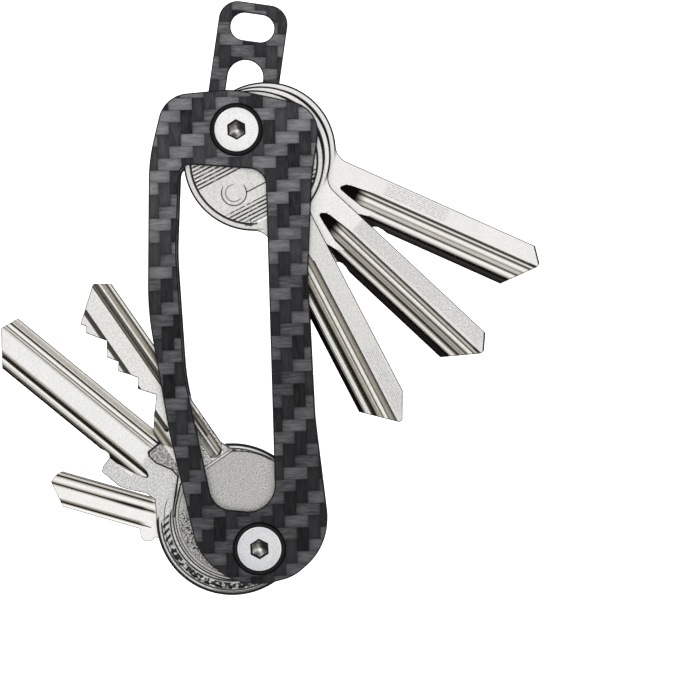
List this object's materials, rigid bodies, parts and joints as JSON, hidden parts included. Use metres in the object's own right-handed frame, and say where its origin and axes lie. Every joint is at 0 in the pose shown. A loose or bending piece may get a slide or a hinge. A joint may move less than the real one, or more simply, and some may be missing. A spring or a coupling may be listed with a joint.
{
  "type": "key organiser",
  "caption": "Key organiser: two carbon plates on screwed posts, with keys that fan out at both ends and a loop strap for a split ring.",
  "frame": {"origin": "midway between the two posts, in the middle of the stack of plates, where it is held between finger and thumb", "axes": "+Z along the line of posts towards the loop strap, -Y out of the face with the hex-socket screws, +X to the side where the upper keys fan out"},
  "size_m": [0.0936, 0.0154, 0.1026],
  "materials": {
    "carbon": "satin woven carbon fibre",
    "screw_metal": "fine bead-blasted",
    "black_metal": "gloss black",
    "key_metal": "brushed nickel silver",
    "washer_metal": "zinc plated"
  },
  "bodies": {
    "casing": {"front_plate": "carbon", "back_plate": "carbon", "top_post": "screw_metal", "bottom_post": "screw_metal", "top_screw": "screw_metal", "bottom_screw": "screw_metal", "top_screw_collar": "black_metal", "bottom_screw_collar": "black_metal", "top_front_washer": "washer_metal", "top_middle_washer": "washer_metal", "top_back_washer": "washer_metal", "bottom_front_washer": "washer_metal", "bottom_middle_washer": "washer_metal", "spacer_washer": "washer_metal"},
    "ring_loop": {"ring_loop": "carbon"},
    "upper_key_front": {"upper_key_front": "key_metal"},
    "upper_key_middle": {"upper_key_middle": "key_metal"},
    "upper_key_back": {"upper_key_back": "key_metal"},
    "lower_key_front": {"lower_key_front": "key_metal"},
    "lower_key_middle": {"lower_key_middle": "key_metal"},
    "lower_key_back": {"lower_key_back": "key_metal"}
  },
  "joints": [
    {"name": "loop_swing", "type": "hinge", "parent": "casing", "child": "ring_loop", "pos_m": [0, 0, 0.036], "axis": [0, -1, 0], "range_deg": [-168.8, 90]},
    {"name": "upper_front_turn", "type": "hinge", "parent": "casing", "child": "upper_key_front", "pos_m": [0, 0, 0.036], "axis": [0, -1, 0], "range_deg": [-16.3, 155.7]},
    {"name": "upper_middle_turn", "type": "hinge", "parent": "casing", "child": "upper_key_middle", "pos_m": [0, 0, 0.036], "axis": [0, -1, 0], "range_deg": [-33.8, 136.2]},
    {"name": "upper_back_turn", "type": "hinge", "parent": "casing", "child": "upper_key_back", "pos_m": [0, 0, 0.036], "axis": [0, -1, 0], "range_deg": [-53.3, 117.2]},
    {"name": "lower_front_turn", "type": "hinge", "parent": "casing", "child": "lower_key_front", "pos_m": [0, 0, -0.036], "axis": [0, -1, 0], "range_deg": [-20.6, 148.4]},
    {"name": "lower_middle_turn", "type": "hinge", "parent": "casing", "child": "lower_key_middle", "pos_m": [0, 0, -0.036], "axis": [0, -1, 0], "range_deg": [-35.1, 132.4]},
    {"name": "lower_back_turn", "type": "hinge", "parent": "casing", "child": "lower_key_back", "pos_m": [0, 0, -0.036], "axis": [0, -1, 0], "range_deg": [-61.9, 109.1]}
  ]
}
